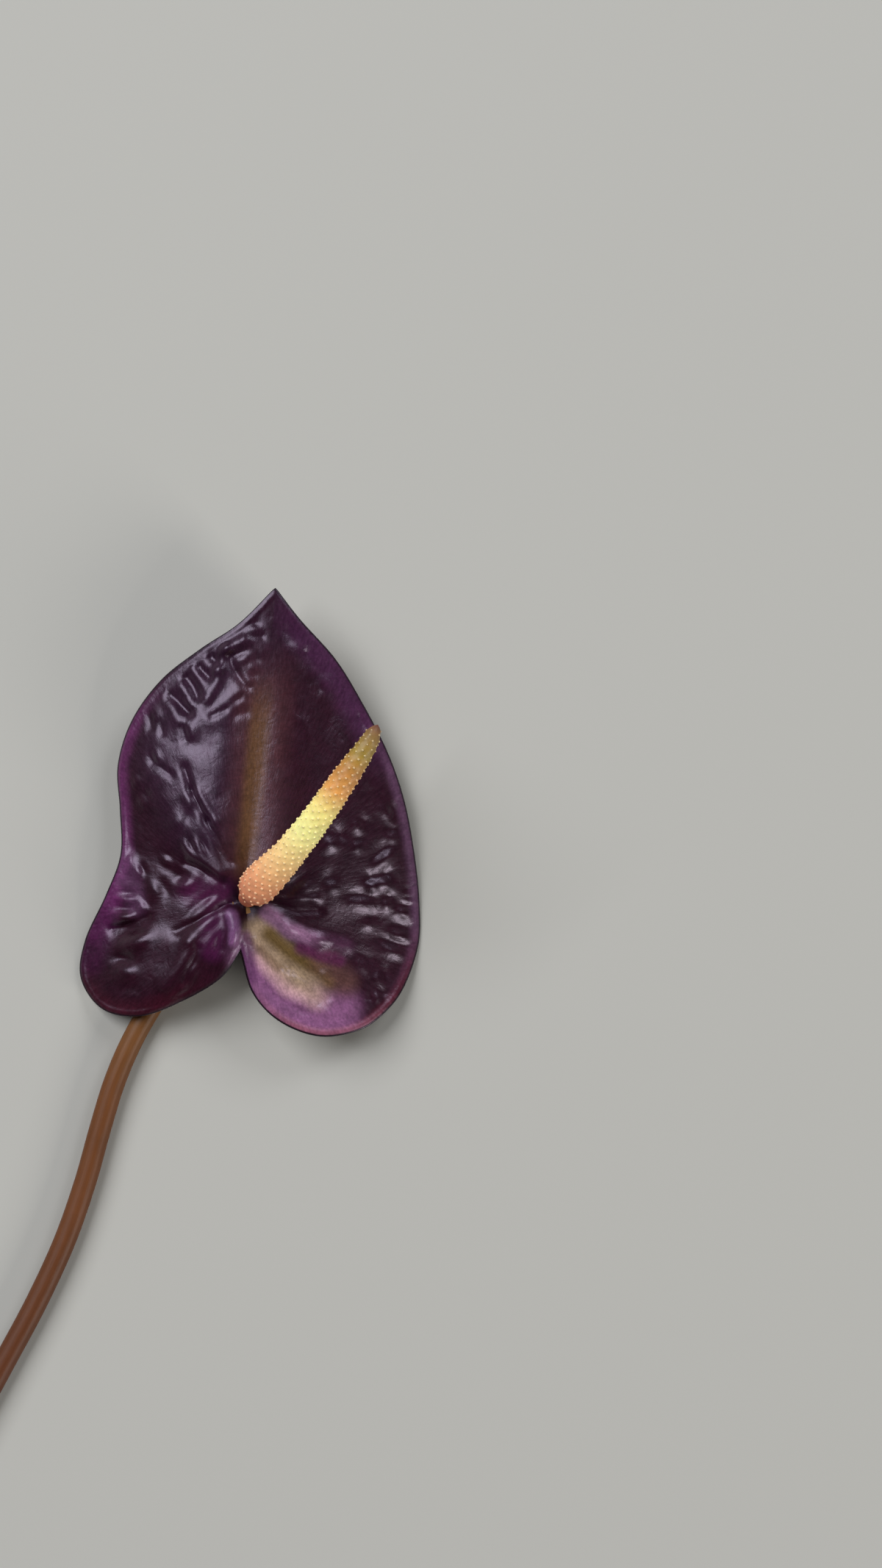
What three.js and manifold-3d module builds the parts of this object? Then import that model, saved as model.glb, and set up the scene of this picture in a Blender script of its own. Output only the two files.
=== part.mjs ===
// A cut anthurium flower lying face up on a table: a heart-shaped spathe on a bent stem, and a spadix that
// stands on the spathe and leans over it. Millimetres, +Z up, table at z = 0.
//
// The three pieces meet at the node, the point where the stem passes into the flower. Every shape below is
// drawn from the node's foot on the table: x to the flower's right, y towards the tip of the spathe.
import * as THREE from "three";
import { mergeVertices } from "three/addons/utils/BufferGeometryUtils.js";
import Module from "manifold-3d";

// ---- Driving dimensions ----
const NODE_HEIGHT = 19; // spathe's middle surface above the table, before the pit at the node
const SPATHE_THICKNESS = 1.0;
const FIT_GAP = 0.3; // left between the spathe and the two pieces cut to fit it
const STEM_RADIUS_TOP = 2.95;
const STEM_RADIUS_END = 3.2; // the stalk thickens a little towards its cut end
const STEM_SIDES = 14;
const STEM_RINGS = 46;
const SPADIX_SIDES = 18;
const SPATHE_STATIONS = 76; // round the margin
const SPATHE_ROWS = 12; // from the node out to the margin

// ---- Spathe outline: [x, y, height of the margin, belly], where belly lifts the blade half way out ----
const LEFT_MARGIN = [
  [-1.2, -13.0, 17.2, 0.2],
  [-7.0, -20.8, 15.5, 1.2],
  [-17.5, -27.1, 12.2, 1.6],
  [-29.0, -31.3, 9.6, 1.8],
  [-39.6, -29.8, 4.4, 1.6],
  [-45.8, -21.6, 0.9, 1.2],
  [-44.5, -11.2, 1.6, 0.6],
  [-38.5, 1.2, 5.6, 0.2],
  [-34.3, 12.5, 7.2, 0.6],
  [-34.6, 25.0, 6.0, 1.6],
  [-35.2, 36.8, 5.6, 2.6],
  [-31.2, 48.9, 8.0, 3.2],
  [-23.0, 59.8, 11.4, 3.2],
  [-12.2, 68.0, 15.2, 2.4],
  [-1.4, 75.0, 17.8, 1.0],
  [8.2, 84.4, 18.6, 0.6],
];
const RIGHT_MARGIN = [
  [8.2, 84.4, 18.6, 0.6],
  [14.7, 76.0, 17.0, 1.2],
  [24.2, 65.3, 13.0, 2.0],
  [31.6, 53.1, 9.6, 2.4],
  [38.2, 40.1, 7.0, 2.0],
  [42.6, 27.3, 4.6, 1.6],
  [45.2, 13.8, 2.8, 1.4],
  [46.7, 0.0, 1.1, 1.0],
  [46.5, -12.3, 0.8, 0.2],
  [42.6, -23.8, 4.0, -0.8],
  [37.6, -30.4, 7.4, -1.4],
  [30.6, -35.1, 10.4, -1.9],
  [20.0, -36.6, 13.0, -2.2],
  [9.3, -32.5, 14.4, -1.8],
  [2.0, -24.6, 14.8, -1.0],
  [-1.2, -13.0, 17.2, 0.2],
];
const MARGIN_DROP_POWER = 1.6; // the blade stays level near the node and falls away towards the margin
const PIT_DEPTH = 2.2; // the blade dips where the stem enters it
const PIT_RADIUS = 5;
const MIDRIB_DEPTH = 0.5; // groove from the node to the tip
const MIDRIB_HALF_WIDTH = 4.5;
const MIDRIB_START = 5; // the groove begins clear of the pit

// ---- Centre lines, from the node outwards: [x, y, z] ----
const STEM_LINE = [
  [1.6, 1.2, 22.5],
  [-0.3, -0.5, 16.6],
  [-3.6, -3.4, 10.6],
  [-9.4, -9.0, 6.0],
  [-17.4, -17.6, 3.6],
  [-24.8, -26.8, 3.1],
  [-31.6, -38.4, 3.1],
  [-36.6, -50.0, 3.1],
  [-40.6, -63.0, 3.1],
  [-44.8, -78.0, 3.1],
  [-50.6, -94.4, 3.15],
  [-58.4, -111.2, 3.15],
  [-66.6, -126.5, 3.2],
  [-76.0, -144.0, 3.2],
  [-88.0, -167.0, 3.2],
  [-99.0, -190.0, 3.2],
  [-108.5, -213.0, 3.2],
  [-116.5, -236.0, 3.2],
  [-123.5, -260.0, 3.2],
  [-129.5, -284.0, 3.2],
];
const SPADIX_LINE = [
  [0.4, 0.5, 15.0],
  [1.4, 1.7, 19.2],
  [3.3, 3.7, 23.0],
  [6.2, 6.7, 27.0],
  [11.4, 12.0, 32.0],
  [16.6, 18.2, 36.6],
  [21.2, 24.1, 40.0],
  [25.3, 29.9, 42.2],
  [29.4, 35.8, 43.8],
  [33.4, 41.6, 44.8],
  [36.4, 47.3, 45.2],
];
// Spadix radius along its line: [share of the length, radius]. It starts as a thin stalk in the spathe's pit.
const SPADIX_PROFILE = [
  [0.0, 2.8],
  [0.075, 3.0],
  [0.095, 4.2],
  [0.13, 5.0],
  [0.17, 5.2],
  [0.25, 4.9],
  [0.31, 4.55],
  [0.39, 4.2],
  [0.47, 4.0],
  [0.59, 3.8],
  [0.7, 3.6],
  [0.78, 3.35],
  [0.86, 2.95],
  [0.92, 2.55],
  [0.965, 2.1],
  [0.99, 1.2],
];

const wasm = await Module();
wasm.setup();

// ---- Helpers ----
// A closed geometry with one vertex at each place and no collapsed triangles.
function weld(geometry) {
  const bare = geometry.clone();
  bare.deleteAttribute("normal");
  bare.deleteAttribute("uv");
  const merged = mergeVertices(bare, 1e-4);
  const kept = [];
  const index = merged.index.array;
  for (let i = 0; i < index.length; i += 3) {
    const [a, b, c] = [index[i], index[i + 1], index[i + 2]];
    if (a !== b && b !== c && a !== c) kept.push(a, b, c);
  }
  merged.setIndex(kept);
  return merged;
}

function toSolid(geometry) {
  const welded = weld(geometry);
  return new wasm.Manifold(
    new wasm.Mesh({
      numProp: 3,
      vertProperties: welded.attributes.position.array,
      triVerts: new Uint32Array(welded.index.array),
    }),
  );
}

function toGeometry(solid) {
  const { vertProperties, triVerts } = solid.getMesh();
  const geometry = new THREE.BufferGeometry();
  geometry.setAttribute("position", new THREE.BufferAttribute(new Float32Array(vertProperties), 3));
  geometry.setIndex(new THREE.BufferAttribute(new Uint32Array(triVerts), 1));
  geometry.computeVertexNormals();
  return geometry;
}

// What is left of a piece after the cutter has gone through it: its largest part.
function cutToFit(geometry, cutter) {
  const parts = toSolid(geometry).subtract(cutter).decompose();
  const largest = parts.reduce((best, part) => (part.volume() > best.volume() ? part : best));
  return toGeometry(largest);
}

function smoothCurve(points) {
  return new THREE.CatmullRomCurve3(
    points.map(([x, y, z]) => new THREE.Vector3(x, y, z)),
    false,
    "catmullrom",
    0.5,
  );
}

// A round form turned on the y axis from y = 0 to 1, carried onto a curve: y becomes the share of its length.
function bendAlong(lathed, curve, rings) {
  const frames = curve.computeFrenetFrames(rings);
  const position = lathed.attributes.position;
  const point = new THREE.Vector3();
  for (let i = 0; i < position.count; i++) {
    const share = THREE.MathUtils.clamp(position.getY(i), 0, 1);
    const ring = Math.round(share * rings);
    curve.getPointAt(share, point);
    point.addScaledVector(frames.binormals[ring], position.getX(i));
    point.addScaledVector(frames.normals[ring], position.getZ(i));
    position.setXYZ(i, point.x, point.y, point.z);
  }
  return lathed;
}

// ---- Spathe ----
const leftMargin = smoothCurve(LEFT_MARGIN);
const rightMargin = smoothCurve(RIGHT_MARGIN);
const bellyCurve = (points) => smoothCurve(points.map((point) => [point[3], 0, 0]));
const leftBelly = bellyCurve(LEFT_MARGIN);
const rightBelly = bellyCurve(RIGHT_MARGIN);

// The margin at a share of the way round: up the left side from the sinus to the tip, then down the right.
function marginAt(share) {
  const onLeft = share < 0.5;
  const margin = onLeft ? leftMargin : rightMargin;
  const along = margin.getUtoTmapping(onLeft ? share * 2 : share * 2 - 1);
  const belly = (onLeft ? leftBelly : rightBelly).getPoint(along).x;
  return { point: margin.getPoint(along), belly };
}

const TIP = leftMargin.points[leftMargin.points.length - 1];
const MIDRIB_LENGTH = Math.hypot(TIP.x, TIP.y);

// How far the midrib groove sinks the blade at a point of its plan.
function midribDepth(x, y) {
  const along = (x * TIP.x + y * TIP.y) / MIDRIB_LENGTH;
  const across = (x * TIP.y - y * TIP.x) / MIDRIB_LENGTH;
  const start = THREE.MathUtils.smoothstep(along, MIDRIB_START, 3 * MIDRIB_START);
  const end = 1 - THREE.MathUtils.smoothstep(along, 0.6 * MIDRIB_LENGTH, MIDRIB_LENGTH);
  return MIDRIB_DEPTH * start * end * Math.exp(-((across / MIDRIB_HALF_WIDTH) ** 2));
}

// A point of the blade's middle surface: share of the way round, and reach from the node (0) to the margin (1).
function bladePoint(share, reach) {
  const { point, belly } = marginAt(share);
  const x = point.x * reach;
  const y = point.y * reach;
  const drop = (NODE_HEIGHT - point.z) * reach ** MARGIN_DROP_POWER;
  const pit = PIT_DEPTH * Math.exp(-(x * x + y * y) / PIT_RADIUS ** 2);
  const z = NODE_HEIGHT - drop + belly * 4 * reach * (1 - reach) - pit - midribDepth(x, y);
  return new THREE.Vector3(x, y, z);
}

// The blade as a box of cells wrapped round the node. Its two end faces would meet behind the node, at the
// foot of the sinus, so they are left out and the cells close into one disc.
function spatheGeometry(thickness) {
  const box = new THREE.BoxGeometry(1, 1, 1, SPATHE_STATIONS, SPATHE_ROWS, 1);
  const [, , firstRimFace] = box.groups;
  box.setIndex(Array.from(box.index.array).slice(firstRimFace.start));
  const position = box.attributes.position;
  const nudge = 1e-3;
  for (let i = 0; i < position.count; i++) {
    const share = position.getX(i) + 0.5;
    const reach = position.getY(i) + 0.5;
    const here = bladePoint(share, reach);
    const inward = Math.max(reach - nudge, 0);
    const run = bladePoint(share, inward + nudge).sub(bladePoint(share, inward));
    const slope = reach > 0 ? run.z / Math.hypot(run.x, run.y) : 0;
    const halfHeight = (thickness / 2) * Math.hypot(1, slope);
    position.setXYZ(i, here.x, here.y, here.z + Math.sign(position.getZ(i)) * halfHeight);
  }
  return box;
}

// ---- Stem and spadix ----
function stemGeometry() {
  const profile = [];
  for (let ring = 0; ring <= STEM_RINGS; ring++) {
    const share = ring / STEM_RINGS;
    profile.push(new THREE.Vector2(THREE.MathUtils.lerp(STEM_RADIUS_END, STEM_RADIUS_TOP, share), share));
  }
  profile.unshift(new THREE.Vector2(0, 0));
  profile.push(new THREE.Vector2(0, 1));
  const fromCutEnd = smoothCurve([...STEM_LINE].reverse());
  return bendAlong(new THREE.LatheGeometry(profile, STEM_SIDES), fromCutEnd, STEM_RINGS);
}

function spadixGeometry() {
  const rings = 200;
  const profile = SPADIX_PROFILE.map(([share, radius]) => new THREE.Vector2(radius, share));
  profile.unshift(new THREE.Vector2(0, 0));
  profile.push(new THREE.Vector2(0, 1));
  return bendAlong(new THREE.LatheGeometry(profile, SPADIX_SIDES), smoothCurve(SPADIX_LINE), rings);
}

// ---- The flower ----
const spatheMaterial = new THREE.MeshStandardMaterial({ color: 0x3a1230, roughness: 0.3, metalness: 0 });
const stemMaterial = new THREE.MeshStandardMaterial({ color: 0x8a5a33, roughness: 0.5, metalness: 0 });
const spadixMaterial = new THREE.MeshStandardMaterial({ color: 0xe8b878, roughness: 0.6, metalness: 0 });

function namedMesh(name, geometry, material) {
  const mesh = new THREE.Mesh(geometry, material);
  mesh.name = name;
  return mesh;
}

const clearance = toSolid(spatheGeometry(SPATHE_THICKNESS + 2 * FIT_GAP));
const flower = new THREE.Group();
flower.add(
  namedMesh("stem", cutToFit(stemGeometry(), clearance), stemMaterial),
  namedMesh("spathe", toGeometry(toSolid(spatheGeometry(SPATHE_THICKNESS))), spatheMaterial),
  namedMesh("spadix", cutToFit(spadixGeometry(), clearance), spadixMaterial),
);

// The part's origin is the middle of its box, on the table.
const bounds = new THREE.Box3().setFromObject(flower);
const middle = bounds.getCenter(new THREE.Vector3());
flower.position.set(-middle.x, -middle.y, -bounds.min.z);

const part = new THREE.Group();
part.add(flower);

export default part;
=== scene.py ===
# %% [markdown]
# # A cut anthurium flower, lying face up
# The flower has three pieces. A round stalk, the stem, carries a heart-shaped bract, the spathe, and a
# fleshy spike, the spadix, stands on the spathe where the stem enters it. This lesson dresses the plain
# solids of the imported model: it keeps their places and sizes, and gives each piece its real surface.
#
# Everything is drawn in millimetres from the foot of the node, the point where the three pieces meet, and is
# moved to the model's frame and turned into metres at the very end, by one function.

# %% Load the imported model
import math

import bpy
import numpy as np
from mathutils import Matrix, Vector, kdtree


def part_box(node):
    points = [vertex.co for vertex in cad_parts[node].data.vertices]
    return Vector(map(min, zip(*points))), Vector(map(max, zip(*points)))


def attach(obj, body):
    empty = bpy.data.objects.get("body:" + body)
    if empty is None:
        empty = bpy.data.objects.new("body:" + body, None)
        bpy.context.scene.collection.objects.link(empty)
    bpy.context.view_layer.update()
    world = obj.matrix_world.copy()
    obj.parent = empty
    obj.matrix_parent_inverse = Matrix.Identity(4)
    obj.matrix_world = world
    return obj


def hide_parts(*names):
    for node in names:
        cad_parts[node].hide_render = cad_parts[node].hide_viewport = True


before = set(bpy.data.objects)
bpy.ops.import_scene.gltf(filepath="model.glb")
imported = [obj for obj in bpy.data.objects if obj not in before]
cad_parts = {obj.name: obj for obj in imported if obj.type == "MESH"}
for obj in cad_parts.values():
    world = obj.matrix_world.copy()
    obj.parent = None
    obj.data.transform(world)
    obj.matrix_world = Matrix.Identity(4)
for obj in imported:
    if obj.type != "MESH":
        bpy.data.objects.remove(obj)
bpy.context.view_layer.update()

MM = 0.001

# %% [markdown]
# ## The margin of the spathe
# A spathe is a leaf that has changed its job. Its outline could be traced with many points, but a few points
# and a smooth curve through them keep the edge fair, as a spline does on a drawing board. Two curves are
# needed, because the edge has two corners: the tip, and the sinus where the two lobes meet behind the stem.
# Each point gives the plan place, the height of the margin, and how much the blade bulges on the way to it.

# %% Margin points and a smooth curve through them
LEFT_MARGIN = [
    (-1.2, -13.0, 17.2, 0.2),
    (-7.0, -20.8, 15.5, 1.2),
    (-17.5, -27.1, 12.2, 1.6),
    (-29.0, -31.3, 9.6, 1.8),
    (-39.6, -29.8, 4.4, 1.6),
    (-45.8, -21.6, 0.9, 1.2),
    (-44.5, -11.2, 1.6, 0.6),
    (-38.5, 1.2, 5.6, 0.2),
    (-34.3, 12.5, 7.2, 0.6),
    (-34.6, 25.0, 6.0, 1.6),
    (-35.2, 36.8, 5.6, 2.6),
    (-31.2, 48.9, 8.0, 3.2),
    (-23.0, 59.8, 11.4, 3.2),
    (-12.2, 68.0, 15.2, 2.4),
    (-1.4, 75.0, 17.8, 1.0),
    (8.2, 84.4, 18.6, 0.6),
]
RIGHT_MARGIN = [
    (8.2, 84.4, 18.6, 0.6),
    (14.7, 76.0, 17.0, 1.2),
    (24.2, 65.3, 13.0, 2.0),
    (31.6, 53.1, 9.6, 2.4),
    (38.2, 40.1, 7.0, 2.0),
    (42.6, 27.3, 4.6, 1.6),
    (45.2, 13.8, 2.8, 1.4),
    (46.7, 0.0, 1.1, 1.0),
    (46.5, -12.3, 0.8, 0.2),
    (42.6, -23.8, 4.0, -0.8),
    (37.6, -30.4, 7.4, -1.4),
    (30.6, -35.1, 10.4, -1.9),
    (20.0, -36.6, 13.0, -2.2),
    (9.3, -32.5, 14.4, -1.8),
    (2.0, -24.6, 14.8, -1.0),
    (-1.2, -13.0, 17.2, 0.2),
]


def smooth_curve(points, samples):
    """A Catmull-Rom curve through the points, as an array of samples."""
    points = np.array(points, float)
    padded = np.vstack([2 * points[0] - points[1], points, 2 * points[-1] - points[-2]])
    place = np.linspace(0, len(points) - 1, samples)
    start = np.minimum(place.astype(int), len(points) - 2)
    t = (place - start)[:, None]
    p0, p1, p2, p3 = (padded[start + k] for k in range(4))
    cubic = 3 * p1 - p0 - 3 * p2 + p3
    square = 2 * p0 - 5 * p1 + 4 * p2 - p3
    return p1 + 0.5 * t * ((p2 - p0) + t * (square + t * cubic))


def lengths_along(points):
    """The length of the line up to each of its points, counted in its first three columns."""
    steps = np.linalg.norm(np.diff(points[:, :3], axis=0), axis=1)
    return np.concatenate([[0.0], np.cumsum(steps)])


def evenly(points, count):
    """The same line with its points at even distances."""
    along = lengths_along(points)
    targets = np.linspace(0, along[-1], count)
    return np.column_stack([np.interp(targets, along, column) for column in points.T])


CURVE_SAMPLES = 2000
SIDE_STATIONS = 258
left_side = evenly(smooth_curve(LEFT_MARGIN, CURVE_SAMPLES), SIDE_STATIONS + 1)
right_side = evenly(smooth_curve(RIGHT_MARGIN, CURVE_SAMPLES), SIDE_STATIONS + 1)
margin = np.vstack([left_side[:-1], right_side[:-1]])
STATIONS = len(margin)

# the heights are averaged over a few stations by the tip, so that no crease runs from it down the blade
TIP_SOFTENING = 9
heights = margin[:, 2:].copy()
for station in range(SIDE_STATIONS - 2 * TIP_SOFTENING, SIDE_STATIONS + 2 * TIP_SOFTENING + 1):
    spread = TIP_SOFTENING * (1 - abs(station - SIDE_STATIONS) / (2 * TIP_SOFTENING + 1))
    reach_out = int(round(spread))
    heights[station] = margin[station - reach_out : station + reach_out + 1, 2:].mean(axis=0)
margin[:, 2:] = heights
MARGIN_LENGTH = lengths_along(left_side)[-1] + lengths_along(right_side)[-1]
print(f"margin: {STATIONS} stations, {MARGIN_LENGTH:.0f} mm round")

# %% [markdown]
# ## Where the node is in the model
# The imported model's origin is the middle of the whole flower's box, so the node lies somewhere else. The
# spathe's own box settles it: its lowest corner in plan is the lowest corner of the margin drawn above.

# %% Find the node in the model's frame
SPATHE_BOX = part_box("spathe")
margin_low = margin[:, :2].min(axis=0)
NODE_FOOT = np.array([SPATHE_BOX[0][0] / MM - margin_low[0], SPATHE_BOX[0][1] / MM - margin_low[1], 0.0])


def to_frame(points):
    """Points drawn in millimetres from the node's foot, in metres in the model's frame."""
    return (np.asarray(points, float) + NODE_FOOT) * MM


print("the node's foot, in mm:", NODE_FOOT.round(2))

# %% [markdown]
# ## The broad form of the blade
# Seen from the side, a spathe is a shallow saddle: level near the node, falling to the left and right
# margins, and curled up a little along the lower right edge. Every ray from the node to the margin follows
# one rule, which is the rule of the solid too, so the fine surface stays on it.

# %% The blade's middle surface
NODE_HEIGHT = 19.0
MARGIN_DROP_POWER = 1.6
PIT_DEPTH = 2.2
PIT_RADIUS = 5.0
MIDRIB_DEPTH = 0.5
MIDRIB_HALF_WIDTH = 4.5
MIDRIB_START = 5.0
TIP = np.array(LEFT_MARGIN[-1][:2])
MIDRIB_LENGTH = np.hypot(*TIP)


def smoothstep(value, low, high):
    """0 below low, 1 above high, and a soft rise between them. Also falls, if low is above high."""
    t = np.clip((value - low) / (high - low), 0, 1)
    return t * t * (3 - 2 * t)


def midrib_coordinates(x, y):
    """Distance from the node along the line to the tip, and distance to its right."""
    along = (x * TIP[0] + y * TIP[1]) / MIDRIB_LENGTH
    across = (x * TIP[1] - y * TIP[0]) / MIDRIB_LENGTH
    return along, across


def blade_height(x, y, reach, margin_height, belly):
    """Height of the plain blade where a ray has gone the share reach of its way to the margin."""
    along, across = midrib_coordinates(x, y)
    start = smoothstep(along, MIDRIB_START, 3 * MIDRIB_START)
    end = smoothstep(along, MIDRIB_LENGTH, 0.6 * MIDRIB_LENGTH)
    groove = MIDRIB_DEPTH * start * end * np.exp(-((across / MIDRIB_HALF_WIDTH) ** 2))
    pit = PIT_DEPTH * np.exp(-(x * x + y * y) / PIT_RADIUS**2)
    drop = (NODE_HEIGHT - margin_height) * reach**MARGIN_DROP_POWER
    return NODE_HEIGHT - drop + belly * 4 * reach * (1 - reach) - pit - groove


ROWS = 88
ROW_CROWDING = 1.3  # above 1 the rows crowd towards the margin, where the blade has its finest shapes
reach = (1 - (1 - np.arange(1, ROWS + 1) / ROWS) ** ROW_CROWDING)[:, None]
plan_x = reach * margin[None, :, 0]
plan_y = reach * margin[None, :, 1]
plain_height = blade_height(plan_x, plan_y, reach, margin[None, :, 2], margin[None, :, 3])
print(f"blade grid: {ROWS} rows of {STATIONS}")
print(f"plain heights: {plain_height.min():.1f} to {plain_height.max():.1f} mm")

# %% [markdown]
# ## How far each point is from the edge
# The relief dies away at the margin, and several colours run along it, so the distance to the edge is needed
# at every point. A tree of the margin's points answers that quickly.

# %% Distance to the margin
EDGE_SAMPLES = 900
edge_line = np.vstack([evenly(left_side, EDGE_SAMPLES), evenly(right_side, EDGE_SAMPLES)])
edge_tree = kdtree.KDTree(len(edge_line))
for number, point in enumerate(edge_line):
    edge_tree.insert((point[0], point[1], 0.0), number)
edge_tree.balance()
nearest = [edge_tree.find((x, y, 0.0))[1:] for x, y in zip(plan_x.ravel(), plan_y.ravel())]
edge_distance = np.array([distance for _, distance in nearest]).reshape(plan_x.shape)
# 0 to 1 runs up the left edge from the sinus to the tip, and 1 to 2 down the right edge back to the sinus
edge_place = np.array([number for number, _ in nearest]).reshape(plan_x.shape) / EDGE_SAMPLES
print(f"the middle of the blade is {edge_distance.max():.0f} mm from the edge")

# %% [markdown]
# ## A soft unevenness
# Nothing on a leaf is quite straight or quite even. Scattered swells, low and high, one pitch apart and
# pushed off their places, add up to a smooth random field. The field is used three ways: it bends the
# strokes and washes, it makes the strokes higher here and lower there, and it stands as low
# swellings by itself.

# %% A smooth random field
def scattered(x, y, pitch, seed):
    """Smooth random values, between about -1 and 1, whose ups and downs are about two pitches apart."""
    source = np.random.default_rng(seed)
    grid_x, grid_y = np.meshgrid(np.arange(-54, 56, pitch), np.arange(-44, 92, pitch))
    push = source.uniform(-0.5, 0.5, (2,) + grid_x.shape) * pitch
    rises = source.uniform(-1, 1, grid_x.size)
    value = np.zeros_like(x)
    for seed_x, seed_y, rise in zip((grid_x + push[0]).ravel(), (grid_y + push[1]).ravel(), rises):
        value += rise * np.exp(-((x - seed_x) ** 2 + (y - seed_y) ** 2) / (0.62 * pitch) ** 2)
    return value


def bent(x, y, pitch, amount, seed):
    """The plan coordinates, each pushed aside by a random field."""
    return x + amount * scattered(x, y, pitch, seed), y + amount * scattered(x, y, pitch, seed + 1)


broad_x, broad_y = bent(plan_x, plan_y, pitch=7.0, amount=0.8, seed=3)
bent_x, bent_y = bent(broad_x, broad_y, pitch=2.8, amount=0.2, seed=5)
unevenness = scattered(plan_x, plan_y, pitch=4.4, seed=7)
strength = 1 + 0.3 * scattered(plan_x, plan_y, pitch=8.0, seed=9)
print(f"strokes are bent by up to {np.hypot(bent_x - plan_x, bent_y - plan_y).max():.1f} mm")

# %% [markdown]
# ## Ridges and furrows
# The blade of this kind is quilted: it grows faster than its veins, so it puffs up between them. The big
# folds are what the eye knows the flower by, so each is given one by one as a stroke, like a sculptor's
# thumb mark: a line in plan, a width and a height, where a height below zero is a furrow.

# %% Strokes, one by one: (x, y) from, (x, y) to, half width, height
RIDGES = [
    # the branching ridge of the upper left, its ring near the tip, and its side branches
    ((-15.5, 45.0), (-10.2, 55.0), 1.5, 0.7),
    ((-10.2, 55.0), (-7.0, 62.5), 1.2, 0.9),
    ((-7.0, 62.5), (-4.6, 68.2), 1.1, 0.9),
    ((-4.6, 68.2), (0.4, 70.8), 1.2, 0.7),
    ((0.4, 70.8), (4.6, 67.2), 1.2, 0.5),
    ((-13.8, 53.2), (-17.4, 58.6), 0.9, 0.6),
    ((-11.0, 57.6), (-14.4, 63.2), 0.8, 0.6),
    ((-8.0, 62.6), (-10.6, 66.4), 0.8, 0.5),
    ((-17.6, 47.4), (-21.6, 54.8), 1.3, 0.6),
    ((-9.6, 49.2), (-1.6, 56.4), 2.0, 0.5),
    # the long crease that parts the smooth facet from the dark left side, and the band beside it
    ((-24.0, 37.6), (-20.4, 34.6), 1.0, -0.8),
    ((-16.2, 36.4), (-15.0, 30.4), 1.0, -0.9),
    ((-15.0, 30.4), (-9.4, 21.6), 1.1, -1.1),
    ((-9.4, 21.6), (-3.6, 10.4), 1.2, -1.1),
    ((-13.0, 29.4), (-8.0, 21.4), 1.3, 0.7),
    ((-8.0, 21.4), (-3.0, 11.6), 1.2, 0.7),
    ((-19.0, 42.6), (-10.0, 41.6), 1.6, -0.25),
    ((-4.6, 38.0), (-5.6, 29.0), 1.8, -0.25),
    # the ridge below it, and the crease that reaches the node
    ((-14.0, 12.4), (-6.4, 7.0), 1.5, 0.9),
    ((-16.6, 10.4), (-5.4, 5.0), 1.0, -0.9),
    # the left lobe: a crease from the node, and the crumpled fold below it
    ((-4.4, -0.6), (-19.0, -8.4), 1.0, -1.0),
    ((-9.0, -4.0), (-15.0, -11.0), 1.3, 0.8),
    ((-15.0, -11.0), (-21.4, -22.2), 1.5, 1.0),
    ((-12.6, -12.6), (-16.2, -21.0), 1.0, -0.8),
    ((-15.2, -20.0), (-19.0, -25.4), 1.3, 0.8),
    ((-4.2, -3.6), (-2.8, -11.4), 1.7, 1.1),
    ((-7.2, -5.0), (-6.4, -13.0), 1.6, -0.7),
    ((-37.0, -8.2), (-26.6, -4.4), 1.0, -0.8),
    # pleats that fan out to the right of the spadix
    ((8.0, 0.7), (19.0, 1.3), 0.9, 0.5),
    ((9.4, -1.0), (20.0, -2.2), 1.2, -0.6),
    # the lilac ridge above the olive valley
    ((5.4, -2.6), (12.0, -6.8), 1.5, 1.0),
    ((12.0, -6.8), (20.0, -11.0), 1.7, 1.1),
    ((20.0, -11.0), (27.0, -12.4), 1.8, 0.6),
    # ripples in the valley and along the curled lower edge
    ((6.6, -7.4), (19.4, -18.6), 1.2, 0.5),
    ((4.0, -10.4), (12.0, -18.4), 1.6, -0.7),
    ((12.0, -18.4), (21.0, -26.4), 1.6, -0.7),
    ((10.4, -19.4), (17.0, -23.6), 1.0, 0.4),
    ((4.6, -18.0), (14.0, -27.0), 1.5, 0.4),
    ((5.0, -22.6), (16.0, -31.0), 1.0, -0.45),
    ((14.0, -27.4), (23.0, -31.0), 1.1, 0.35),
    ((0.8, -12.0), (0.6, -20.6), 1.1, 0.7),
    # soft folds of the upper right
    ((15.4, 49.0), (18.6, 43.0), 1.2, 0.3),
    ((23.2, 53.0), (21.6, 40.0), 2.6, -0.6),
    ((9.4, 46.6), (11.0, 34.0), 2.6, 0.15),
]
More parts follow.
